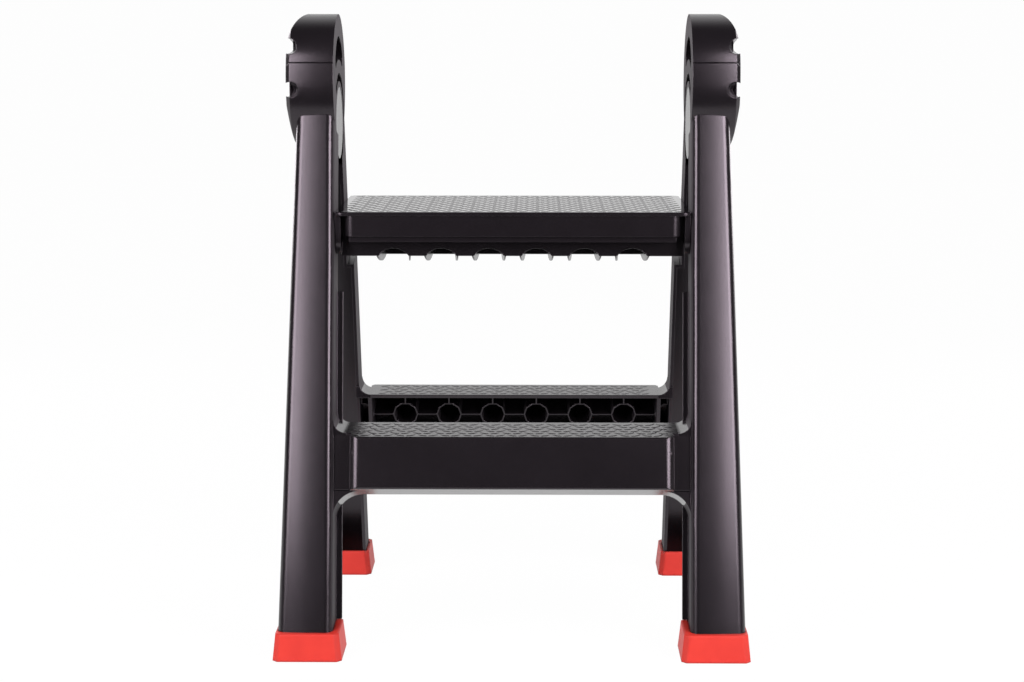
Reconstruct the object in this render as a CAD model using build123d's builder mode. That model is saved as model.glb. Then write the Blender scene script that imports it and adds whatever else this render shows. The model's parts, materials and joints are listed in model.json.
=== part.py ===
from build123d import *
from math import atan2, cos, radians, sin, sqrt, tan
import os

# A folding stool with two steps, in millimetres: x to the right, y to the rear, z up.
# Two moulded frames lean together on a hinge in each head, and a ribbed platform lies between them.

# Stance
half_width = 243.0          # from the middle to the feet's outer sides
lean = 14.1                 # lean of each frame from upright, in degrees
stance = 199.0              # from the middle to a leg's outer face, at the floor
lower_rise = 223.6          # floor to the two lower treads
upper_rise = 447.4          # floor to the platform
drum_height = 580.0         # floor to the axis of the heads' drums

# Legs: channels that are open towards the middle of the stool
leg_depth = 50.0
leg_wall = 3.5
leg_round = 8.0             # long front corners
crown_drop = 2.5            # the front legs' faces curve back, from the inner to the outer side
leg_in_floor = half_width - 60.5
leg_in_hinge = half_width - 57.0
leg_out_floor = half_width - 3.8
leg_out_hinge = half_width - 17.0
rear_widen = 8.0            # rear legs reach further in than the front ones, below the platform
shoulder_top = upper_rise - 59.4    # where that extra width ends
leg_top = drum_height - 14.0        # the legs end inside the heads
leg_core_top = drum_height - 102.0  # the channel ends below the hinge
rim_reach = 6.0             # rim along the inner open edge, towards the middle
rim_lip = 11.0              # the same rim, over the channel
rim_thick = 4.0
rim_gap = 1.0               # above the foot
rim_top = 372.0

# Lower steps
step_wall = 4.0
step_height = 53.0          # front panel, measured along the lean
step_proud = 12.0           # panel in front of the leg faces
step_half = half_width - 77.0
step_edge_round = 2.5
step_end_round = 9.0
soffit_depth = 60.0
soffit_draft = 4.0          # degrees
front_tread = 79.0          # tread depth, front to back
rear_tread = 68.0
gusset_radius = 28.0        # below the step, into the legs
cove_radius = 13.0          # above the tread, into the legs
step_ring = 14.5            # outer radius of the ring ribs
step_ring_drop = 16.0       # ring centres below the tread's front edge
step_rib_depth = 48.0
rib_wall = 1.6
rib_pitch = 50.0
front_columns = 6
rear_columns = 8
ring_sides = 10

# Heads: a drum with a rounded shoulder, split on a plane through the hinge
head_out = half_width - 7.5
drum_radius = 70.0
drum_bevel = 4.0            # outer edge
shoulder_width = 21.5       # rounded top of the drum, in the front view
shoulder_drop = 42.0
shoulder_over = 0.5         # its curve starts this much outside the drum
belly_drop = 20.0           # the outer side draws in from here, below the drum's axis
belly_draft = 7.0           # degrees
hinge_height = drum_height - 45.0
seam_height = drum_height + 20.0    # where the split shows on the front of the drum
seam_gap = 0.7
split_clear = 3.0           # each frame's lower split face to the hinge axis
cheek_radius = 44.0         # front frame's discs round the hinge
leaf_radius = 50.0          # rear frame's middle leaf
radial_clear = 1.0
cheek_thick = 8.0
leaf_thick = 22.0
leaf_clear = 0.5
grip_radius = 47.0          # top of the hand hold, about the drum's axis
dome_radius = 67.0          # bottom of the hand hold, about the hinge
grip_half = 40.0
grip_round = 6.0
grip_wall = 5.5             # walls beside the pocket that cores out the handle
grip_pocket = 33.0          # depth of that pocket, from the inner side
pocket_start = 12.0         # degrees above level, at the rear
pocket_end = 146.0          # degrees, short of the seam
recess_radius = 53.0
recess_depth = 6.0
groove_radius = 8.0         # finger grooves across the outer side
groove_sink = 4.7           # their axes, inside the outer side at the front
groove_slew = 12.0          # degrees, outwards to the rear
groove_heights = (drum_height - 7.5, drum_height + 37.0)

# Hinge pins, their caps, and the platform's pins and pegs
hinge_pin_radius = 8.0
hinge_pin_length = 38.0
run_clear = 0.05
cap_radius = 38.0
cap_thick = 2.8
cap_sink = 0.2
cap_clear = 0.2
peg_radius = 6.0
peg_offset = 68.0           # pins and pegs, from the middle
peg_height = upper_rise - 27.4
peg_sink = 0.5              # inner ends, short of the cheek's inner face
boss_radius = 11.0
boss_length = 12.0

# Platform
platform_half = half_width - 58.2
platform_front = -90.0
platform_rear = 117.0
plate_thick = 4.0
plate_round = 8.0
plate_edge = 1.2            # bevelled top edge
skirt_half = half_width - 69.0
skirt_height = 25.6
skirt_wall = 4.0
skirt_return = 16.0         # the skirt turns in at its ends by this much
band_height = 31.5          # inner wall behind the skirt, below the top
band_wall = 3.0
cheek_plate = 6.0
cheek_inset = 6.0           # end cheeks, behind the skirt
cheek_height = 46.0
cheek_round = 18.0
web_height = 48.0           # webs from cheek to cheek, below the top
arch_height = 39.4          # top of the arches in the outer webs, below the top
arch_radius = 20.0
cell_reach = 80.0           # outer webs, from the middle one
cell_end = 18.0             # ribs on both sides of an arch, at the outer webs
cell_waist = 12.5           # the same ribs at the middle web
lobe_height = 57.0          # where those ribs hang lowest
platform_columns = 6
saddle_clear = 0.3
saddle_flare = 28.0         # degrees, each wall of the saddle's mouth

# Feet
foot_height = 28.0
foot_floor = 5.0
foot_fit = 0.2
foot_front = stance + 2.5   # from the middle, at the floor
foot_length = 66.0
front_flare = 10.0          # past the leg's inner side, at the floor
rear_flare = 6.0
foot_draft = 6.0            # degrees
foot_corner = 5.0           # bevel on the upright edges

lean_cos = cos(radians(lean))
lean_sin = sin(radians(lean))
lean_tan = tan(radians(lean))
head_in = leg_in_hinge
reach = 2 * drum_radius
crown_width = leg_out_floor - leg_in_floor
crown_radius = (crown_width ** 2 + crown_drop ** 2) / (2 * crown_drop)
leaf_in = head_in + cheek_thick + leaf_clear
leaf_out = leaf_in + leaf_thick

# The front frame's leaning face: x across, y up the leg, z out of the face
leg_plane = Plane(
    origin=(0, -stance, 0), x_dir=(1, 0, 0), z_dir=(0, -lean_cos, lean_sin)
)
outward = Axis((0, -stance, 0), (0, -lean_cos, lean_sin))
# A cut across the right leg: x across, y behind the face
crown_plane = Plane(
    origin=(leg_in_floor, -stance, 0), x_dir=(1, 0, 0), z_dir=(0, lean_sin, lean_cos)
)


def inner_side(height):
    return leg_in_floor + (leg_in_hinge - leg_in_floor) * height / hinge_height


def outer_side(height):
    return leg_out_floor + (leg_out_hinge - leg_out_floor) * height / hinge_height


def leg_outline(low, high, inset, depth_in, widen):
    """Right leg, square to its front face, drawn on a plane depth_in behind that face."""
    with BuildSketch(leg_plane.offset(-depth_in)) as outline:
        with BuildLine():
            Polyline(
                (inner_side(low) - widen + inset, low / lean_cos),
                (outer_side(low) - inset, low / lean_cos),
                (outer_side(high) - inset, high / lean_cos),
                (inner_side(high) - widen + inset, high / lean_cos),
                close=True,
            )
        make_face()
    return outline.sketch


def leg_block(low, high, fit, widen, crowned):
    """Solid right leg with a flat or crowned face and rounded front corners, swollen by the fit."""
    profile = leg_outline(low, high, -fit, -fit, widen)
    with BuildPart() as block:
        extrude(profile, amount=-leg_depth - 2 * fit)
        if crowned:
            with BuildSketch(crown_plane):
                with Locations((0, crown_radius)):
                    Circle(crown_radius + fit)
            extrude(amount=2 * leg_top, both=True, mode=Mode.INTERSECT)
        front = block.faces().sort_by(outward)[-1]
        fillet(front.edges().sort_by(SortBy.LENGTH)[-2:], radius=leg_round)
    return block.part


def step_corners(setback, tread):
    """Outside of a step's section: tread, front panel and soffit."""
    soffit_fall = tan(radians(soffit_draft))
    tread_back = tread * lean_cos
    return (
        (setback, setback * lean_tan),
        (tread_back, tread_back * lean_tan),
        (soffit_depth, -step_height - soffit_depth * soffit_fall),
        (setback, -step_height - setback * soffit_fall),
    )


def step_bulkhead(tread, at):
    """Filled section of a step, to close the panel's end."""
    with BuildSketch(step_plane.offset(at)) as outline:
        Polygon(*step_corners(0, tread), align=None)
        fillet(outline.vertices().group_by(Axis.X)[0], radius=step_edge_round)
    return outline.sketch


def step_section(setback, tread, at):
    """Channel section of a step, with the back open."""
    soffit_fall = tan(radians(soffit_draft))
    soffit_rise = step_wall / cos(radians(soffit_draft))
    inside = setback + step_wall
    beyond = tread + soffit_depth
    with BuildSketch(step_plane.offset(at)) as section:
        Polygon(*step_corners(setback, tread), align=None)
        fillet(section.vertices().group_by(Axis.X)[0], radius=step_edge_round)
        Polygon(
            (inside, inside * lean_tan - step_wall / lean_cos),
            (beyond, beyond * lean_tan - step_wall / lean_cos),
            (beyond, -step_height - beyond * soffit_fall + soffit_rise),
            (inside, -step_height - inside * soffit_fall + soffit_rise),
            align=None,
            mode=Mode.SUBTRACT,
        )
    return section.sketch


def step_cavity(setback):
    """Inside of the step's channel, as deep as its ribs."""
    soffit_fall = tan(radians(soffit_draft))
    soffit_rise = step_wall / cos(radians(soffit_draft))
    inside = setback + step_wall / 2
    back = step_rib_depth
    with BuildSketch(step_plane) as cavity:
        Polygon(
            (inside, inside * lean_tan - step_wall / 2),
            (back, back * lean_tan - step_wall / 2),
            (back, -step_height - back * soffit_fall + soffit_rise / 2),
            (inside, -step_height - inside * soffit_fall + soffit_rise / 2),
            align=None,
        )
    return cavity.sketch


# The step's cross-section: x straight back from the panel, y up the lean
step_face = stance - lower_rise * lean_tan + step_proud / lean_cos
step_plane = Plane(
    origin=(0, -step_face, lower_rise), x_dir=(0, lean_cos, -lean_sin), z_dir=(1, 0, 0)
)
# The same step seen along its panel's normal, and along its panel from below
rib_plane = Plane(
    origin=(0, -step_face, lower_rise), x_dir=(1, 0, 0), z_dir=(0, lean_cos, -lean_sin)
)
plan_plane = Plane(
    origin=(0, -step_face, lower_rise), x_dir=(1, 0, 0), z_dir=(0, lean_sin, lean_cos)
)
# Between panel and leg the step is set back behind the leg's rounded corner
step_recess = step_proud + leg_round
soffit_slope = radians(lean + soffit_draft)
gusset_face = step_face + step_height * lean_sin - step_recess * cos(soffit_slope)
gusset_height = lower_rise - step_height * lean_cos - step_recess * sin(soffit_slope)
gusset_plane = Plane(
    origin=(0, -gusset_face, gusset_height),
    x_dir=(1, 0, 0),
    z_dir=(0, -cos(soffit_slope), sin(soffit_slope)),
)


def step_ribs(side, columns):
    """Ring ribs in the step's channel, tied to each other and to the tread by webs."""
    panel_room = step_cavity(0)
    end_room = step_cavity(step_recess)
    with BuildPart() as room:
        extrude(panel_room, amount=step_half, both=True)
        extrude(end_room, amount=side + leg_wall / 2, both=True)
    with BuildPart() as ribs:
        with BuildSketch(rib_plane):
            with Locations((0, step_ring_drop)):
                Rectangle(2 * side, rib_wall)
                with GridLocations(rib_pitch, 0, columns, 1):
                    Rectangle(rib_wall, 2 * step_height)
                with GridLocations(rib_pitch, 0, columns, 1):
                    RegularPolygon(step_ring, ring_sides)
                with GridLocations(rib_pitch, 0, columns, 1):
                    RegularPolygon(step_ring - rib_wall, ring_sides, mode=Mode.SUBTRACT)
        extrude(amount=step_rib_depth)
        add(room.part, mode=Mode.INTERSECT)
    return ribs.part


def leg_rim():
    """Rim along the inner open edge of the right leg, from the foot to below the platform."""
    with BuildPart() as rim:
        with BuildSketch(leg_plane.offset(rim_thick - leg_depth)):
            with BuildLine():
                Polyline(
                    (inner_side(0) - rim_reach, 0),
                    (inner_side(0) + rim_lip, 0),
                    (inner_side(rim_top) + rim_lip, rim_top / lean_cos),
                    (inner_side(rim_top) - rim_reach, rim_top / lean_cos),
                    close=True,
                )
            make_face()
        extrude(amount=-rim_thick)
        split(bisect_by=Plane.XY.offset(foot_height + rim_gap), keep=Keep.TOP)
    return rim.part


def ladder(tread, widen, columns):
    """Two legs and the step between them, in the front frame's pose."""
    low = foot_floor - leg_depth
    skin = leg_block(low, leg_top, 0, 0, not widen)
    if widen:
        core = leg_outline(low, leg_core_top, leg_wall, leg_wall, 0)
        wide_skin = leg_block(low, shoulder_top, 0, widen, False)
        wide_core = leg_outline(low, shoulder_top - leg_wall, leg_wall, leg_wall, widen)
    else:
        core = leg_outline(low, leg_core_top, leg_wall, leg_wall + crown_drop, 0)
        rim = leg_rim()
    side = inner_side(lower_rise) - widen
    ribs = step_ribs(side, columns)
    panel_end = step_half - step_wall
    proud = step_section(0, tread, 0)
    recessed = step_section(step_recess, tread, panel_end)
    bulkheads = [step_bulkhead(tread, at) for at in (-step_half, panel_end)]
    with BuildPart() as half:
        add(skin)
        if widen:
            add(wide_skin)
        extrude(core, amount=-leg_depth, mode=Mode.SUBTRACT)
        if widen:
            extrude(wide_core, amount=-leg_depth, mode=Mode.SUBTRACT)
        if not widen:
            add(rim)
        # Gusset under the step
        with BuildSketch(gusset_plane):
            with Locations((side, 0)):
                Rectangle(gusset_radius, gusset_radius, align=(Align.MAX, Align.MAX))
                Rectangle(leg_wall, gusset_radius, align=(Align.MIN, Align.MAX))
            with Locations((side - gusset_radius, -gusset_radius)):
                Circle(gusset_radius, mode=Mode.SUBTRACT)
        extrude(amount=step_recess - soffit_depth)
        # Cove at the end of the tread
        with BuildSketch(Plane.XZ.offset(step_face - step_recess)):
            with Locations((side, lower_rise - step_wall)):
                Rectangle(cove_radius, cove_radius + step_wall, align=(Align.MAX, Align.MIN))
                Rectangle(leg_wall, cove_radius, align=(Align.MIN, Align.MIN))
            with Locations((side - cove_radius, lower_rise + cove_radius)):
                Circle(cove_radius, mode=Mode.SUBTRACT)
        extrude(amount=-(tread - step_recess))
        # Set-back stretch from the panel to the leg
        extrude(recessed, amount=side + leg_wall / 2 - panel_end)
        split(bisect_by=Plane.XY.offset(foot_floor), keep=Keep.TOP)
    with BuildPart() as panel:
        extrude(proud, amount=step_half, both=True)
        for bulkhead in bulkheads:
            extrude(bulkhead, amount=step_wall)
        with BuildSketch(plan_plane) as plan:
            Rectangle(2 * step_half, 2 * tread, align=(Align.CENTER, Align.MIN))
            fillet(plan.vertices().group_by(Axis.Y)[0], radius=step_end_round)
        extrude(amount=2 * step_height, both=True, mode=Mode.INTERSECT)
    with BuildPart() as whole:
        add(half.part)
        mirror(half.part, about=Plane.YZ)
        add(panel.part)
        add(ribs)
    return whole.part


# Heads, on the right-hand side: y to the rear and z up in their side view
hinge = Vector(0, hinge_height)
seam_depth = sqrt(drum_radius ** 2 - (seam_height - drum_height) ** 2)
seam_angle = atan2(seam_depth, seam_height - hinge_height)
seam_line = Vector(-sin(seam_angle), cos(seam_angle)) * reach
seam_normal = Vector(cos(seam_angle), sin(seam_angle))
front_split = hinge + Vector(-lean_cos, lean_sin) * split_clear
front_low = front_split + Vector(-lean_sin, -lean_cos) * reach
rear_split = hinge + Vector(lean_cos, lean_sin) * split_clear
rear_low = rear_split + Vector(lean_sin, -lean_cos) * reach
rear_seam = hinge + seam_normal * seam_gap

drum_top = drum_height + drum_radius
with BuildPart() as drum:
    with BuildSketch(Plane.XZ) as half_section:
        with Locations((head_in, drum_height)):
            Rectangle(head_out - head_in, drum_radius, align=(Align.MIN, Align.MIN))
        chamfer(half_section.vertices().group_by(Axis.X)[-1].sort_by(Axis.Y)[-1], length=drum_bevel)
    revolve(axis=Axis((0, 0, drum_height), (1, 0, 0)))
    # Outline in the front view: a rounded shoulder, and a side that draws in below
    crest = drum_top + shoulder_over
    brow = head_out + shoulder_over
    belly = drum_height - belly_drop
    with BuildSketch(Plane.XZ.offset(-reach)):
        with BuildLine():
            Polyline(
                (brow, crest - shoulder_drop),
                (brow, belly),
                (brow - reach * tan(radians(belly_draft)), belly - reach),
                (head_in - drum_bevel, belly - reach),
                (head_in - drum_bevel, crest),
                (brow - shoulder_width, crest),
            )
            EllipticalCenterArc(
                (brow - shoulder_width, crest - shoulder_drop),
                shoulder_width,
                shoulder_drop,
                arc_size=90,
            )
        make_face()
    extrude(amount=2 * reach, mode=Mode.INTERSECT)
    # Finger grooves
    slew = Vector(sin(radians(groove_slew)), cos(radians(groove_slew)), 0)
    for height in groove_heights:
        with BuildSketch(Plane(origin=(head_out - groove_sink, -seam_depth, height), z_dir=slew)):
            Circle(groove_radius)
        extrude(amount=reach, both=True, mode=Mode.SUBTRACT)

with BuildPart() as front_head:
    add(drum.part)
    with BuildSketch(Plane.YZ.offset(head_in)):
        Polygon(
            hinge,
            hinge + seam_line,
            (-reach, (hinge + seam_line).Y),
            (-reach, front_low.Y),
            front_low,
            front_split,
            align=None,
        )
        with Locations(hinge):
            Circle(cheek_radius)
    extrude(amount=head_out - head_in, mode=Mode.INTERSECT)

with BuildPart() as leaf:
    add(drum.part)
    with BuildSketch(Plane.YZ.offset(leaf_in)):
        with Locations(hinge):
            Circle(leaf_radius)
    extrude(amount=leaf_thick, mode=Mode.INTERSECT)

with BuildPart() as rear_head:
    add(drum.part)
    with BuildSketch(Plane.YZ.offset(head_in)):
        Polygon(
            rear_seam,
            rear_seam + seam_line,
            ((rear_seam + seam_line).X, hinge_height + 2 * reach),
            (reach, hinge_height + 2 * reach),
            (reach, rear_low.Y),
            rear_low,
            rear_split,
            align=None,
        )
    extrude(amount=head_out - head_in, mode=Mode.INTERSECT)
    add(leaf.part)
    # Hand hold
    with BuildSketch(Plane.YZ.offset(head_in)) as grip:
        with Locations((0, drum_height)):
            Circle(grip_radius)
        with Locations(hinge):
            Circle(dome_radius, mode=Mode.SUBTRACT)
        with Locations((0, drum_height)):
            Rectangle(2 * grip_half, 2 * grip_radius, mode=Mode.INTERSECT)
        fillet(grip.vertices(), radius=grip_round)
    extrude(amount=head_out - head_in, mode=Mode.SUBTRACT)
    # Pocket that cores out the handle from its inner side
    with BuildSketch(Plane.YZ.offset(head_in)):
        with BuildLine():
            with Locations((0, drum_height)):
                outer = CenterArc((0, 0), drum_radius - grip_wall, pocket_start, pocket_end - pocket_start)
                inner = CenterArc((0, 0), grip_radius + grip_wall, pocket_start, pocket_end - pocket_start)
            Line(outer @ 0, inner @ 0)
            Line(outer @ 1, inner @ 1)
        make_face()
    extrude(amount=grip_pocket, mode=Mode.SUBTRACT)

# Front frame, with room for the rear frame's leaf between its cheeks
front_ladder = ladder(front_tread, 0, front_columns)
with BuildPart() as front_frame:
    add(front_ladder)
    add(front_head.part)
    mirror(front_head.part, about=Plane.YZ)
    for side in (1, -1):
        with BuildSketch(Plane.YZ.offset(side * (leaf_in - leaf_clear))):
            with Locations(hinge):
                Circle(leaf_radius + radial_clear)
        extrude(amount=side * (leaf_thick + 2 * leaf_clear), mode=Mode.SUBTRACT)
        # Bosses and bores for the platform's pins
        boss_start = inner_side(peg_height) + leg_wall / 2
        with BuildSketch(Plane.YZ.offset(side * boss_start)):
            with Locations((-peg_offset, peg_height)):
                Circle(boss_radius)
        extrude(amount=side * (boss_length - leg_wall / 2))
        with BuildSketch(Plane.YZ.offset(side * (inner_side(peg_height) - leg_wall))):
            with Locations((-peg_offset, peg_height)):
                Circle(peg_radius + run_clear)
        extrude(amount=side * (boss_length + 2 * leg_wall), mode=Mode.SUBTRACT)
        # Hinge bore, blind from the inner side, and the seat of its cap
        with BuildSketch(Plane.YZ.offset(side * head_in)):
            with Locations(hinge):
                Circle(hinge_pin_radius + run_clear)
        extrude(amount=side * (cap_sink + cap_thick + hinge_pin_length), mode=Mode.SUBTRACT)
        with BuildSketch(Plane.YZ.offset(side * head_in)):
            with Locations(hinge):
                Circle(cap_radius + cap_clear)
        extrude(amount=side * (cap_sink + cap_thick), mode=Mode.SUBTRACT)

# Rear frame, cut clear of the front frame's cheeks on both sides of its leaf
rear_ladder = ladder(rear_tread, rear_widen, rear_columns)
with BuildPart() as rear_frame:
    mirror(rear_ladder, about=Plane.XZ)
    add(rear_head.part)
    mirror(rear_head.part, about=Plane.YZ)
    for side in (1, -1):
        with BuildSketch(Plane.YZ.offset(side * (head_in - leg_wall))):
            with Locations(hinge):
                Circle(cheek_radius + radial_clear)
        extrude(amount=side * (leaf_in - head_in + leg_wall), mode=Mode.SUBTRACT)
        with BuildSketch(Plane.YZ.offset(side * leaf_out)):
            with Locations(hinge):
                Circle(cheek_radius + radial_clear)
        extrude(amount=side * (head_out - leaf_out), mode=Mode.SUBTRACT)
        # Shadow groove round the cheek
        with BuildSketch(Plane.YZ.offset(side * head_in)):
            with Locations(hinge):
                Circle(recess_radius)
        extrude(amount=side * recess_depth, mode=Mode.SUBTRACT)
        with BuildSketch(Plane.YZ.offset(side * leaf_in)):
            with Locations(hinge):
                Circle(hinge_pin_radius + run_clear)
        extrude(amount=side * leaf_thick, mode=Mode.SUBTRACT)
        # Bosses and bores for the support pegs
        with BuildSketch(Plane.YZ.offset(side * boss_start)):
            with Locations((peg_offset, peg_height)):
                Circle(boss_radius)
        extrude(amount=side * (boss_length - leg_wall / 2))
        with BuildSketch(Plane.YZ.offset(side * (inner_side(peg_height) - leg_wall))):
            with Locations((peg_offset, peg_height)):
                Circle(peg_radius + run_clear)
        extrude(amount=side * (boss_length + 2 * leg_wall), mode=Mode.SUBTRACT)

# Pins, pegs and caps, on the right-hand side
with BuildPart() as hinge_pin:
    with BuildSketch(Plane.YZ.offset(head_in + cap_sink + cap_thick)):
        with Locations(hinge):
            Circle(hinge_pin_radius)
    extrude(amount=hinge_pin_length)

with BuildPart() as hinge_cap:
    with BuildSketch(Plane.YZ.offset(head_in + cap_sink)):
        with Locations(hinge):
            Circle(cap_radius)
    extrude(amount=cap_thick)


def support(offset):
    """Pin through a leg's boss, with its inner end under the platform's cheek."""
    peg_end = platform_half - cheek_plate + peg_sink
    with BuildPart() as pin:
        with BuildSketch(Plane.YZ.offset(peg_end)):
            with Locations((offset, peg_height)):
                Circle(peg_radius)
        extrude(amount=inner_side(peg_height) + boss_length - peg_end)
    return pin.part


platform_pin = support(-peg_offset)
support_peg = support(peg_offset)

platform_depth = platform_rear - platform_front
platform_middle = (platform_rear + platform_front) / 2

# Ribs in pairs from front to rear, drawn together at the middle, with two hanging lobes each
lobe_drop = lobe_height - web_height
lobe_radius = ((cell_reach / 2) ** 2 + lobe_drop ** 2) / (2 * lobe_drop)
with BuildPart() as cells:
    with BuildSketch(Plane.XY.offset(upper_rise - plate_thick / 2)):
        with Locations((0, platform_middle)):
            with GridLocations(rib_pitch, 0, platform_columns, 1):
                for end, waist in ((cell_end - rib_wall, cell_waist - rib_wall), (-cell_end, -cell_waist)):
                    Polygon(
                        (end, -cell_reach),
                        (end + rib_wall, -cell_reach),
                        (waist + rib_wall, 0),
                        (end + rib_wall, cell_reach),
                        (end, cell_reach),
                        (waist, 0),
                        align=None,
                    )
    extrude(amount=plate_thick / 2 - lobe_height)
    with BuildSketch(Plane.YZ):
        with Locations((platform_middle, upper_rise)):
            Rectangle(2 * cell_reach, web_height, align=(Align.CENTER, Align.MAX))
        with Locations((platform_middle, upper_rise - lobe_height + lobe_radius)):
            with GridLocations(cell_reach, 0, 2, 1):
                Circle(lobe_radius)
    extrude(amount=platform_half, both=True, mode=Mode.INTERSECT)

# Platform: a plate with a skirt, end cheeks, arched webs and the ribs above
with BuildPart() as platform:
    with BuildSketch(Plane.XY.offset(upper_rise)):
        with Locations((0, platform_middle)):
            RectangleRounded(2 * platform_half, platform_depth, plate_round)
    extrude(amount=-plate_thick)
    chamfer(platform.edges().group_by(Axis.Z)[-1], length=plate_edge)
    # Skirt along the front and rear, turned in at its ends
    with BuildSketch(Plane.XY.offset(upper_rise)):
        with Locations((0, platform_middle)):
            RectangleRounded(2 * skirt_half, platform_depth - 2 * plate_edge, plate_round)
            RectangleRounded(
                2 * (skirt_half - skirt_wall),
                platform_depth - 2 * (plate_edge + skirt_wall),
                plate_round - skirt_wall,
                mode=Mode.SUBTRACT,
            )
            Rectangle(2 * platform_half, platform_depth - 2 * skirt_return, mode=Mode.SUBTRACT)
    extrude(amount=-skirt_height)
    # Inner band behind the skirt, and webs from cheek to cheek
    with BuildSketch(Plane.XY.offset(upper_rise)):
        with Locations((0, platform_middle)):
            with GridLocations(0, platform_depth - 2 * skirt_wall - band_wall, 1, 2):
                Rectangle(2 * (skirt_half - skirt_wall), band_wall)
    extrude(amount=-band_height)
    for at, arched in ((-cell_reach, True), (0, False), (cell_reach, True)):
        with BuildSketch(Plane.XZ.offset(-(platform_middle + at))):
            with Locations((0, upper_rise)):
                Rectangle(
                    2 * (platform_half - cheek_plate), web_height, align=(Align.CENTER, Align.MAX)
                )
            if arched:
                with Locations((0, upper_rise - arch_height - arch_radius)):
                    with GridLocations(rib_pitch, 0, platform_columns, 1):
                        Circle(arch_radius, mode=Mode.SUBTRACT)
        extrude(amount=rib_wall / 2, both=True)
    add(cells.part)
    # End cheeks, with a bore for the front pin and a saddle over the rear peg
    for side in (1, -1):
        with BuildSketch(Plane.YZ.offset(side * platform_half)) as cheek:
            with Locations((platform_middle, upper_rise)):
                Rectangle(platform_depth - 2 * cheek_inset, cheek_height, align=(Align.CENTER, Align.MAX))
            fillet(cheek.vertices().group_by(Axis.Y)[0], radius=cheek_round)
            with Locations((-peg_offset, peg_height)):
                Circle(peg_radius + run_clear, mode=Mode.SUBTRACT)
            with Locations((peg_offset, peg_height)):
                Circle(peg_radius + saddle_clear, mode=Mode.SUBTRACT)
            mouth_drop = cheek_height - (upper_rise - peg_height)
            mouth_top = peg_radius + saddle_clear
            mouth_low = mouth_top + mouth_drop * tan(radians(saddle_flare))
            Polygon(
                (peg_offset - mouth_top, peg_height),
                (peg_offset + mouth_top, peg_height),
                (peg_offset + mouth_low, peg_height - mouth_drop),
                (peg_offset - mouth_low, peg_height - mouth_drop),
                align=None,
                mode=Mode.SUBTRACT,
            )
        extrude(amount=-side * cheek_plate)


def foot(widen, flare):
    """Flared boot round the end of a front right leg."""
    socket = leg_block(foot_floor - leg_depth, 2 * foot_height, foot_fit, widen, not widen)
    with BuildPart() as plug:
        add(socket)
        split(bisect_by=Plane.XY.offset(foot_floor), keep=Keep.TOP)
    foot_in = leg_in_floor - widen - flare
    with BuildPart() as boot:
        with BuildSketch():
            with Locations(((half_width + foot_in) / 2, -foot_front + foot_length / 2)):
                Rectangle(half_width - foot_in, foot_length)
        extrude(amount=foot_height, taper=foot_draft)
        chamfer(boot.edges().group_by(Axis.Z)[1], length=foot_corner)
        add(plug.part, mode=Mode.SUBTRACT)
    return boot.part


front_foot = foot(0, front_flare)
rear_boot = foot(rear_widen, rear_flare)
with BuildPart() as rear_foot:
    mirror(rear_boot, about=Plane.XZ)


def both_sides(piece, name):
    """The piece as drawn on the right, and its mirror image on the left."""
    with BuildPart() as right:
        add(piece)
    with BuildPart() as left:
        mirror(piece, about=Plane.YZ)
    return {name + "_right": right.part, name + "_left": left.part}


pieces = {
    "front_frame": front_frame.part,
    "rear_frame": rear_frame.part,
    "platform": platform.part,
}
pieces.update(both_sides(front_foot, "front_foot"))
pieces.update(both_sides(rear_foot.part, "rear_foot"))
pieces.update(both_sides(hinge_pin.part, "hinge_pin"))
pieces.update(both_sides(hinge_cap.part, "hinge_cap"))
pieces.update(both_sides(platform_pin, "platform_pin"))
pieces.update(both_sides(support_peg, "support_peg"))

os.makedirs("parts", exist_ok=True)
for name, piece in pieces.items():
    piece.label = name
    export_step(piece, "parts/" + name + ".step")
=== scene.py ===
"""Folding step stool: finishes, tread pattern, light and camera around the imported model. Metres, +Z up."""
import json
import math

import bmesh
import bpy
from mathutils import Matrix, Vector


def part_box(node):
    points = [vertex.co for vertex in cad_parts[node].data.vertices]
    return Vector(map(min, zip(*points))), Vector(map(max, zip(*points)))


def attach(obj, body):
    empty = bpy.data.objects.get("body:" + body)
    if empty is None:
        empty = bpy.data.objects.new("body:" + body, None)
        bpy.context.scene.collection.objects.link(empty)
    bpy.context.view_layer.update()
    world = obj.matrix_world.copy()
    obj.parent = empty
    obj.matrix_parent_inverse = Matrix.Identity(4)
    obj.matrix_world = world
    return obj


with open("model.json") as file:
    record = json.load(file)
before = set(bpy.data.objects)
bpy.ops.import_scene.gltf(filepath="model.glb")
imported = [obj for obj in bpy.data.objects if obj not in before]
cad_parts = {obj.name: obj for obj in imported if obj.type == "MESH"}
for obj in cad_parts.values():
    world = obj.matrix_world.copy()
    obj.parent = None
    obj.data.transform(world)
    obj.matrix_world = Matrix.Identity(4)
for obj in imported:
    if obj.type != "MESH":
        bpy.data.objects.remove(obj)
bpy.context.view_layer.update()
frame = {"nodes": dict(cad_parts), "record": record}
nodes = frame["nodes"]

SIDES = ((-1, "left"), (1, "right"))
WHITE = (1, 1, 1, 1)
RAMP_SPAN = (0.35, 0.65)        # the stretch of a noise over which colours change


def link(obj):
    bpy.context.scene.collection.objects.link(obj)
    return obj


def new_mesh(name, bm):
    """Object with the mesh built in bm."""
    mesh = bpy.data.meshes.new(name)
    bm.to_mesh(mesh)
    bm.free()
    return link(bpy.data.objects.new(name, mesh))


def bridge(bm, first, second):
    """Band of faces between two rings of vertices."""
    count = len(first)
    for k in range(count):
        after = (k + 1) % count
        bm.faces.new((first[k], first[after], second[after], second[k]))


def face_outwards(bm):
    bmesh.ops.recalc_face_normals(bm, faces=bm.faces)


def fasten(piece, finish, body):
    """Gives a piece its finish and lets it ride a body."""
    piece.data.materials.append(finish)
    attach(piece, body)


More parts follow.
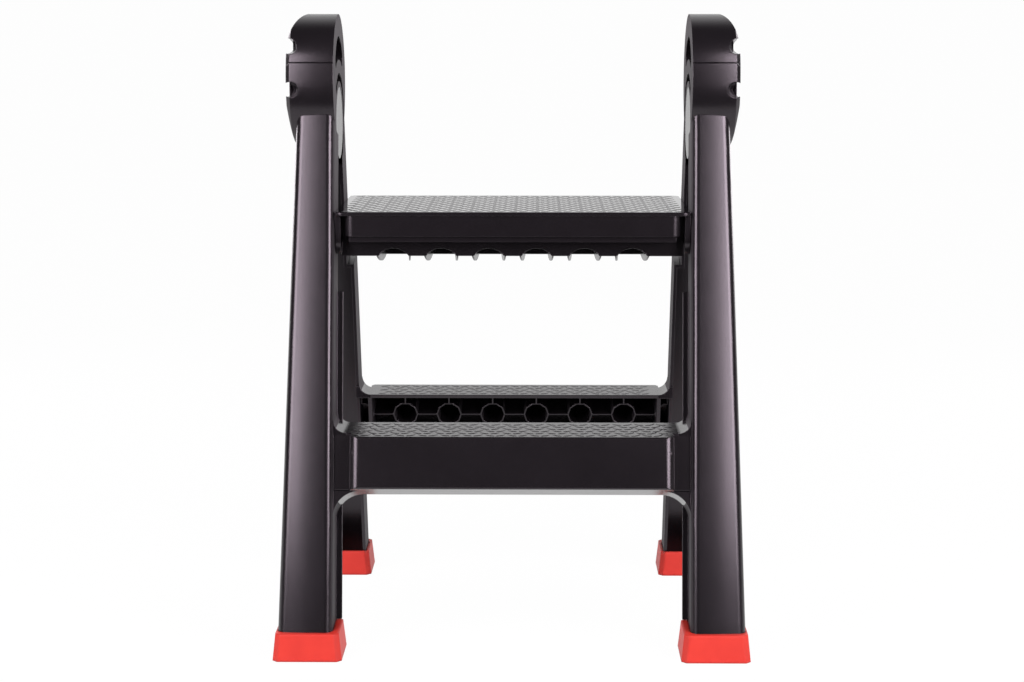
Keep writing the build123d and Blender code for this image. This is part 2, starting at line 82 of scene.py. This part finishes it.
class NodeTree:
    """The nodes of a material or a world, with short calls for adding and linking them."""

    def __init__(self, owner, output):
        owner.use_nodes = True
        self.tree = owner.node_tree
        self.tree.nodes.clear()
        self.surface = self.add(output).inputs["Surface"]

    def add(self, kind, **settings):
        node = self.tree.nodes.new("ShaderNode" + kind)
        for key, value in settings.items():
            setattr(node, key, value)
        return node

    def feed(self, source, target):
        """Links a socket to its source, or sets it to a number."""
        if isinstance(source, float):
            target.default_value = source
        else:
            self.tree.links.new(source, target)

    def math(self, operation, *sources):
        node = self.add("Math", operation=operation)
        for source, target in zip(sources, node.inputs):
            self.feed(source, target)
        return node.outputs["Value"]

    def along(self, kind, axis):
        """One axis of a texture coordinate."""
        where = self.add("TexCoord")
        parts = self.add("SeparateXYZ")
        self.feed(where.outputs[kind], parts.inputs["Vector"])
        return parts.outputs[axis]

    def noise(self, scale, detail, roughness=0.5):
        """Noise in the object's own frame, with scale in features per metre."""
        where = self.add("TexCoord")
        noise = self.add("TexNoise")
        noise.inputs["Scale"].default_value = scale
        noise.inputs["Detail"].default_value = detail
        noise.inputs["Roughness"].default_value = roughness
        self.feed(where.outputs["Object"], noise.inputs["Vector"])
        return noise.outputs["Fac"]

    def ramp(self, source, low, high):
        """Colour from low to high over the middle of source's span."""
        ramp = self.add("ValToRGB")
        for element, at, colour in zip(ramp.color_ramp.elements, RAMP_SPAN, (low, high)):
            element.position = at
            element.color = (*colour, 1)
        self.feed(source, ramp.inputs["Fac"])
        return ramp.outputs["Color"]

    def span(self, source, to, start=(0.0, 1.0)):
        """Maps the start span of source to the span to."""
        span = self.add("MapRange")
        span.inputs["From Min"].default_value, span.inputs["From Max"].default_value = start
        span.inputs["To Min"].default_value, span.inputs["To Max"].default_value = to
        self.feed(source, span.inputs["Value"])
        return span.outputs["Result"]

    def blend(self, share, first, second):
        """Number from first to second, by share."""
        mix = self.add("Mix", data_type="FLOAT")
        self.feed(share, mix.inputs["Factor"])
        self.feed(first, mix.inputs["A"])
        self.feed(second, mix.inputs["B"])
        return mix.outputs["Result"]


# Plastic and rubber
DARK = (0.0046, 0.0039, 0.0046)
LIGHT = (0.0060, 0.0051, 0.0060)
SHEEN = (1.0, 0.90, 0.98, 1)    # tint of the reflections
FLOW_SCALE = 9.0                # flow marks, per metre
GLOSS_SCALE = 60.0
GRAIN_SCALE = 800.0
EDGE_ROUND = 0.0012
BEVEL_SAMPLES = 6
CROWN_SPAN = (0.185, 0.238)     # inner and outer sides of the legs' faces, from the middle
CROWN_LEAN = 0.14
LEVEL_LIMIT = 0.99
INWARD_LIMIT = -0.8
INWARD_ROUGH = 0.7              # the frames' sides towards the middle are duller
FOOT_DARK = (0.42, 0.018, 0.010)
FOOT_LIGHT = (0.46, 0.022, 0.012)
FOOT_TONE_SCALE = 40.0
FOOT_GLOSS_SCALE = 120.0
FOOT_GRAIN_SCALE = 1500.0
FOOT_GRAIN = 0.00005
FOOT_ROUGH = (0.42, 0.58)
FOOT_ROUND = 0.004
FOOT_SPECULAR = 0.35


def rounded(n, radius):
    """Shading normal that rounds off the edges of a moulding."""
    edge = n.add("Bevel", samples=BEVEL_SAMPLES)
    edge.inputs["Radius"].default_value = radius
    return edge.outputs["Normal"]


def crowned(n, normal):
    """Leans the shading normal outwards across the legs and heads, as on slightly domed mouldings."""
    x = n.along("Object", "X")
    lean = n.span(n.math("ABSOLUTE", x), (0.0, CROWN_LEAN), CROWN_SPAN)
    across = n.add("CombineXYZ")
    n.feed(n.math("MULTIPLY", lean, n.math("SIGN", x)), across.inputs["X"])
    total = n.add("VectorMath", operation="ADD")
    n.feed(normal, total.inputs[0])
    n.feed(across.outputs["Vector"], total.inputs[1])
    unit = n.add("VectorMath", operation="NORMALIZE")
    n.feed(total.outputs["Vector"], unit.inputs[0])
    return unit.outputs["Vector"]


def grained(n, normal, scale, depth):
    """Fine eroded grain on top of a smooth normal."""
    bump = n.add("Bump")
    bump.inputs["Distance"].default_value = depth
    n.feed(n.noise(scale, detail=2.0, roughness=0.6), bump.inputs["Height"])
    n.feed(normal, bump.inputs["Normal"])
    return bump.outputs["Normal"]


def level_mask(n):
    """1 on faces that look straight up in the piece's own frame, and 0 elsewhere."""
    return n.math("GREATER_THAN", n.along("Normal", "Z"), LEVEL_LIMIT)


def inward_mask(n):
    """1 on faces that look towards the middle of the stool, and 0 elsewhere."""
    side = n.math("SIGN", n.along("Object", "X"))
    outward = n.math("MULTIPLY", n.along("Normal", "X"), side)
    return n.math("LESS_THAN", outward, INWARD_LIMIT)


def principled(name):
    """New material with its node tree and its shader."""
    material = bpy.data.materials.new(name)
    n = NodeTree(material, "OutputMaterial")
    shader = n.add("BsdfPrincipled")
    n.feed(shader.outputs["BSDF"], n.surface)
    return material, n, shader.inputs


def moulded_plastic(name, rough, level_rough, grain, on_frames=False):
    """Moulded polypropylene: faint flow marks, fine grain, and uneven gloss that differs on level treads."""
    material, n, shader = principled(name)
    shader["Specular Tint"].default_value = SHEEN
    flow = n.noise(FLOW_SCALE, detail=4.0)
    n.feed(n.ramp(flow, DARK, LIGHT), shader["Base Color"])
    gloss = n.noise(GLOSS_SCALE, detail=5.0, roughness=0.6)
    roughness = n.blend(level_mask(n), n.span(gloss, rough), n.span(gloss, level_rough))
    normal = rounded(n, EDGE_ROUND)
    if on_frames:
        roughness = n.blend(inward_mask(n), roughness, INWARD_ROUGH)
        normal = crowned(n, normal)
    n.feed(roughness, shader["Roughness"])
    n.feed(grained(n, normal, GRAIN_SCALE, grain), shader["Normal"])
    return material


def foot_rubber(name):
    """Soft red-orange feet: matte, with a faintly uneven tone and gloss."""
    material, n, shader = principled(name)
    shader["Specular IOR Level"].default_value = FOOT_SPECULAR
    tone = n.noise(FOOT_TONE_SCALE, detail=4.0)
    n.feed(n.ramp(tone, FOOT_DARK, FOOT_LIGHT), shader["Base Color"])
    gloss = n.noise(FOOT_GLOSS_SCALE, detail=3.0)
    n.feed(n.span(gloss, FOOT_ROUGH), shader["Roughness"])
    normal = rounded(n, FOOT_ROUND)
    n.feed(grained(n, normal, FOOT_GRAIN_SCALE, FOOT_GRAIN), shader["Normal"])
    return material


FRAME_PLASTIC = moulded_plastic(
    "frame_plastic", rough=(0.22, 0.27), level_rough=(0.24, 0.30), grain=0.00005, on_frames=True
)
PLATFORM_PLASTIC = moulded_plastic(
    "platform_plastic", rough=(0.22, 0.27), level_rough=(0.06, 0.10), grain=0.00001
)
PIN_PLASTIC = moulded_plastic("pin_plastic", rough=(0.22, 0.28), level_rough=(0.22, 0.28), grain=0.00003)
FOOT_RUBBER = foot_rubber("foot_rubber")
FINISH = {"frame_plastic": FRAME_PLASTIC, "pin_plastic": PIN_PLASTIC, "foot_rubber": FOOT_RUBBER}

for subpart in frame["record"]["subparts"]:
    node = nodes[subpart["node"]]
    node.data.materials.clear()
    node.data.materials.append(FINISH[subpart["material_slot"]])
nodes["platform"].data.materials[0] = PLATFORM_PLASTIC
for _, word in SIDES:
    nodes["hinge_cap_" + word].data.materials[0] = PIN_PLASTIC


# Treads: lens-shaped lugs that turn left and right by turns
LUG_PITCH = 0.0115
LUG_LENGTH = 0.0175
LUG_WIDTH = 0.0075
STEP_LUG = 0.00045              # height of the lugs
PLATFORM_LUG = 0.0003
LUG_TURN = math.radians(45)
LUG_SIDES = 12
LUG_TOP = 0.62                  # size of a lug's flat top, beside its base
LUG_SINK = 0.0002
STEP_RISE = 0.2236
FRONT_HALF = 0.168              # half the length that the lugs cover
REAR_HALF = 0.158
FRONT_TREAD = (-0.155, -0.0765)
REAR_TREAD = (0.0875, 0.155)
PLATFORM_EDGE = 0.002           # bare strips along the platform's edges and ends
PLATFORM_END = 0.008
platform_low, platform_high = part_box("platform")
platform_middle = (platform_low.y + platform_high.y) / 2


def add_lug(bm, x, y, z, turn, rise):
    """Raised lens with sloping sides and a flat top."""
    rings = []
    for size, height in ((1.0, -LUG_SINK), (LUG_TOP, rise)):
        ring = []
        for k in range(LUG_SIDES):
            angle = 2 * math.pi * k / LUG_SIDES
            along = math.cos(angle) * LUG_LENGTH / 2 * size
            across = math.sin(angle) * abs(math.sin(angle)) * LUG_WIDTH / 2 * size
            px = x + along * math.cos(turn) - across * math.sin(turn)
            py = y + along * math.sin(turn) + across * math.cos(turn)
            ring.append(bm.verts.new((px, py, z + height)))
        rings.append(ring)
    base, top = rings
    bridge(bm, base, top)
    bm.faces.new(top)


def tread_lugs(name, half_length, tread, z, rise, body, finish):
    """Lug pattern over one tread, from its front edge to its rear edge."""
    bm = bmesh.new()
    depth = tread[1] - tread[0]
    columns = int(half_length / LUG_PITCH)
    rows = int(depth / LUG_PITCH)
    margin = (depth - (rows - 1) * LUG_PITCH) / 2
    for row in range(rows):
        odd = row % 2
        y = tread[0] + margin + row * LUG_PITCH
        for column in range(-columns, columns + 1 - odd):
            turn = LUG_TURN if (row + column) % 2 else -LUG_TURN
            add_lug(bm, (column + odd / 2) * LUG_PITCH, y, z, turn, rise)
    fasten(new_mesh(name, bm), finish, body)


tread_lugs(
    "platform_lugs",
    platform_high.x - PLATFORM_END,
    (platform_low.y + PLATFORM_EDGE, platform_high.y - PLATFORM_EDGE),
    platform_high.z,
    PLATFORM_LUG,
    "platform",
    PLATFORM_PLASTIC,
)
tread_lugs("front_step_lugs", FRONT_HALF, FRONT_TREAD, STEP_RISE, STEP_LUG, "front_frame", FRAME_PLASTIC)
tread_lugs("rear_step_lugs", REAR_HALF, REAR_TREAD, STEP_RISE, STEP_LUG, "rear_frame", FRAME_PLASTIC)


# Deeper edge of the platform's middle web, seen dark behind the arches
WEB_HALF_LENGTH = 0.172
WEB_HALF_THICK = 0.0007
WEB_TOP = 0.046                 # below the tread, inside the solid web
WEB_BOTTOM = 0.0550
WEB_ROUND = 0.006
ARC_STEPS = 5


def web_outline():
    """Corners of the plate across and up, with arcs for its lower corners."""
    top = platform_high.z - WEB_TOP
    bottom = platform_high.z - WEB_BOTTOM
    arc = []
    for k in range(ARC_STEPS + 1):
        angle = math.pi / 2 * k / ARC_STEPS
        x = WEB_HALF_LENGTH - WEB_ROUND * (1 - math.cos(angle))
        arc.append((x, bottom + WEB_ROUND * (1 - math.sin(angle))))
    left_arc = [(-x, z) for x, z in arc]
    return [(-WEB_HALF_LENGTH, top), *left_arc, *reversed(arc), (WEB_HALF_LENGTH, top)]


def hanging_web():
    """Plate with rounded lower corners under the middle web."""
    bm = bmesh.new()
    outline = web_outline()
    front = [bm.verts.new((x, platform_middle - WEB_HALF_THICK, z)) for x, z in outline]
    back = [bm.verts.new((x, platform_middle + WEB_HALF_THICK, z)) for x, z in outline]
    bridge(bm, front, back)
    bm.faces.new(front)
    bm.faces.new(back)
    face_outwards(bm)
    fasten(new_mesh("platform_web_edge", bm), PLATFORM_PLASTIC, "platform")


hanging_web()


# Rolled rims along the arches of the platform's front web
ARCH_COLUMNS = 6
ARCH_PITCH = 0.050
ARCH_RADIUS = 0.0198
ARCH_TOP = 0.0394               # below the tread
ARCH_WEB = 0.0808               # front face of that web, from the platform's middle
ARCH_END = math.radians(35.5)
RIM_RADIUS = 0.0005
RIM_STEPS = 14
RIM_SIDES = 6


def rim_ring(bm, axis_x, turn):
    """Ring of vertices round the rim, at one turn of its arch."""
    axis_z = platform_high.z - ARCH_TOP - ARCH_RADIUS
    ring = []
    for k in range(RIM_SIDES):
        angle = 2 * math.pi * k / RIM_SIDES
        out = ARCH_RADIUS + RIM_RADIUS * math.cos(angle)
        y = platform_middle - ARCH_WEB + RIM_RADIUS * math.sin(angle)
        ring.append(bm.verts.new((axis_x + out * math.cos(turn), y, axis_z + out * math.sin(turn))))
    return ring


def arch_rims():
    """Thin tubes bent along the edges of the arches."""
    bm = bmesh.new()
    for column in range(ARCH_COLUMNS):
        axis_x = (column - (ARCH_COLUMNS - 1) / 2) * ARCH_PITCH
        rings = []
        for step in range(RIM_STEPS + 1):
            turn = ARCH_END + (math.pi - 2 * ARCH_END) * step / RIM_STEPS
            rings.append(rim_ring(bm, axis_x, turn))
        for first, second in zip(rings, rings[1:]):
            bridge(bm, first, second)
        bm.faces.new(rings[0])
        bm.faces.new(rings[-1])
    face_outwards(bm)
    piece = new_mesh("platform_arch_rims", bm)
    for face in piece.data.polygons:
        face.use_smooth = True
    fasten(piece, PIN_PLASTIC, "platform")


arch_rims()


# Filled bottoms of the finger grooves, behind a deeper dimple at each groove's mouth
GROOVE_RADIUS = 0.0079
GROOVE_AXIS_X = 0.2308          # at GROOVE_AXIS_Y
GROOVE_AXIS_Y = -0.0671
GROOVE_SLEW = math.radians(12)
GROOVE_SIDES = 12
GROOVE_RINGS = 6
GROOVE_DISH = 0.004             # hollow of the dimple
SEAM_RUN = -0.0671              # the split between the heads' halves, from the hinge to the front
SEAM_RISE = 0.065
SEAM_CLEAR = 0.0006
HINGE_Z = frame["record"]["behaviour"]["joints"][0]["pos_m"][2]
# Body, height of the groove, y of its mouth and x of the filling's flat outer side
GROOVES = {
    "upper": ("rear_frame", 0.617, -0.051, 0.2289),
    "lower": ("front_frame", 0.5725, -0.061, 0.2329),
}


def groove_end(z, body, flat):
    """Where the filling stops: at the seam on the front frame, and where the groove runs out elsewhere."""
    if body == "front_frame":
        return SEAM_RUN * (z - HINGE_Z) / SEAM_RISE - SEAM_CLEAR
    return GROOVE_AXIS_Y + (flat + GROOVE_RADIUS - GROOVE_AXIS_X) / math.tan(GROOVE_SLEW)


def groove_bottom(name, body, height, mouth, flat, side):
    """Filling with a flat outer side at x = flat, from the dimple at y = mouth backwards."""
    bm = bmesh.new()
    rings = []
    for step in range(GROOVE_RINGS + 1):
        ring = []
        for k in range(GROOVE_SIDES + 1):
            angle = math.pi * (0.5 + k / GROOVE_SIDES)
            z = height + GROOVE_RADIUS * math.sin(angle)
            y = mouth + (groove_end(z, body, flat) - mouth) * step / GROOVE_RINGS
            axis_x = GROOVE_AXIS_X + (y - GROOVE_AXIS_Y) * math.tan(GROOVE_SLEW)
            x = min(flat, axis_x + GROOVE_RADIUS * math.cos(angle))
            ring.append(bm.verts.new((side * x, y, z)))
        rings.append(ring)
    for first, second in zip(rings, rings[1:]):
        bridge(bm, first, second)
    mouth_ring = rings[0]
    middle = Vector((0, GROOVE_DISH, 0))
    for vertex in mouth_ring:
        middle += vertex.co / len(mouth_ring)
    hollow = bm.verts.new(middle)
    for k, vertex in enumerate(mouth_ring):
        bm.faces.new((hollow, mouth_ring[(k + 1) % len(mouth_ring)], vertex))
    bm.faces.new(rings[-1])
    face_outwards(bm)
    fasten(new_mesh(name, bm), PIN_PLASTIC, body)


for place, groove in GROOVES.items():
    for side, word in SIDES:
        groove_bottom("groove_bottom_" + place + "_" + word, *groove, side)


# Stage: a pale floor, white to the camera and in reflections, that still takes the object's shadow
STAGE_HALF = 6.0
STAGE_FRONT = -0.6              # so that faces towards the camera mirror a dark room
STAGE_BACK = 6.0
STAGE_GLOW = 0.985              # share of plain white in what the camera and reflections see
STAGE_GREY = (0.86, 0.86, 0.86, 1)


def stage_material():
    material = bpy.data.materials.new("stage_white")
    n = NodeTree(material, "OutputMaterial")
    diffuse = n.add("BsdfDiffuse")
    diffuse.inputs["Color"].default_value = STAGE_GREY
    glow = n.add("Emission")
    glow.inputs["Color"].default_value = WHITE
    ray = n.add("LightPath").outputs
    seen = n.math("MAXIMUM", ray["Is Camera Ray"], ray["Is Glossy Ray"])
    mix = n.add("MixShader")
    n.feed(n.math("MULTIPLY", seen, STAGE_GLOW), mix.inputs["Fac"])
    n.feed(diffuse.outputs["BSDF"], mix.inputs[1])
    n.feed(glow.outputs["Emission"], mix.inputs[2])
    n.feed(mix.outputs["Shader"], n.surface)
    return material


def add_stage():
    corners = (
        (-STAGE_HALF, STAGE_FRONT, 0),
        (STAGE_HALF, STAGE_FRONT, 0),
        (STAGE_HALF, STAGE_BACK, 0),
        (-STAGE_HALF, STAGE_BACK, 0),
    )
    bm = bmesh.new()
    bm.faces.new([bm.verts.new(corner) for corner in corners])
    floor = new_mesh("stage_floor", bm)
    floor.data.materials.append(stage_material())


add_stage()


# Light: two soft boxes flank the camera, two dimmer ones stand behind, and the room in front is dark
LAMP_COLOUR = (1.0, 0.93, 0.985)
FRONT_AT = (1.05, -0.95, 0.98)  # the right-hand box, mirrored for the left
FRONT_AIM = (0.72, 0, 0.68)
FRONT_SIZE = (0.9, 1.2)
FRONT_POWER = {"left": 38, "right": 46}
BACK_AT = (1.3, 1.3, 0.9)
BACK_AIM = (0, 0, 0.35)
BACK_SIZE = (0.8, 1.2)
BACK_POWER = 12
ROOM_GLOW = 0.032
WHITE_SPAN = (0.3, 0.7)         # how far to the rear reflections look before they see white


def soft_box(name, side, at, aim, size, power):
    data = bpy.data.lights.new(name, "AREA")
    data.shape = "RECTANGLE"
    data.size, data.size_y = size
    data.energy = power
    data.color = LAMP_COLOUR
    lamp = link(bpy.data.objects.new(name, data))
    mirror = Vector((side, 1, 1))
    lamp.location = Vector(at) * mirror
    lamp.rotation_euler = ((Vector(aim) - Vector(at)) * mirror).to_track_quat("-Z", "Y").to_euler()
    lamp.visible_camera = False


for side, word in SIDES:
    soft_box("front_box_" + word, side, FRONT_AT, FRONT_AIM, FRONT_SIZE, FRONT_POWER[word])
    soft_box("back_box_" + word, side, BACK_AT, BACK_AIM, BACK_SIZE, BACK_POWER)


def light_world():
    """White behind the object, for the camera and for reflections, and a dim room elsewhere."""
    world = bpy.data.worlds.new("studio")
    bpy.context.scene.world = world
    n = NodeTree(world, "OutputWorld")
    back = n.add("Background")
    back.inputs["Color"].default_value = WHITE
    ray = n.add("LightPath").outputs
    behind = n.span(n.along("Generated", "Y"), (0.0, 1.0), WHITE_SPAN)
    mirrored = n.math("MULTIPLY", ray["Is Glossy Ray"], behind)
    seen = n.math("MAXIMUM", ray["Is Camera Ray"], mirrored)
    n.feed(n.span(seen, (ROOM_GLOW, STAGE_GLOW)), back.inputs["Strength"])
    n.feed(back.outputs["Background"], n.surface)


light_world()


# Camera, from a perspective fit to the photograph
PHOTO_WIDTH = 1024              # pixels
FOCAL_PIXELS = 2100
SENSOR_MM = 36.0
CAMERA_AT = (0.024, -2.255, 0.648)
CAMERA_PITCH = 8.8              # degrees below the horizon
CAMERA_YAW = 0.65               # degrees to the left


def add_camera():
    data = bpy.data.cameras.new("photo_camera")
    data.sensor_width = SENSOR_MM
    data.lens = FOCAL_PIXELS / PHOTO_WIDTH * SENSOR_MM
    camera = link(bpy.data.objects.new("photo_camera", data))
    camera.location = CAMERA_AT
    camera.rotation_euler = (math.radians(90 - CAMERA_PITCH), 0, math.radians(CAMERA_YAW))
    bpy.context.scene.camera = camera


add_camera()
bpy.context.scene.view_settings.view_transform = "Standard"
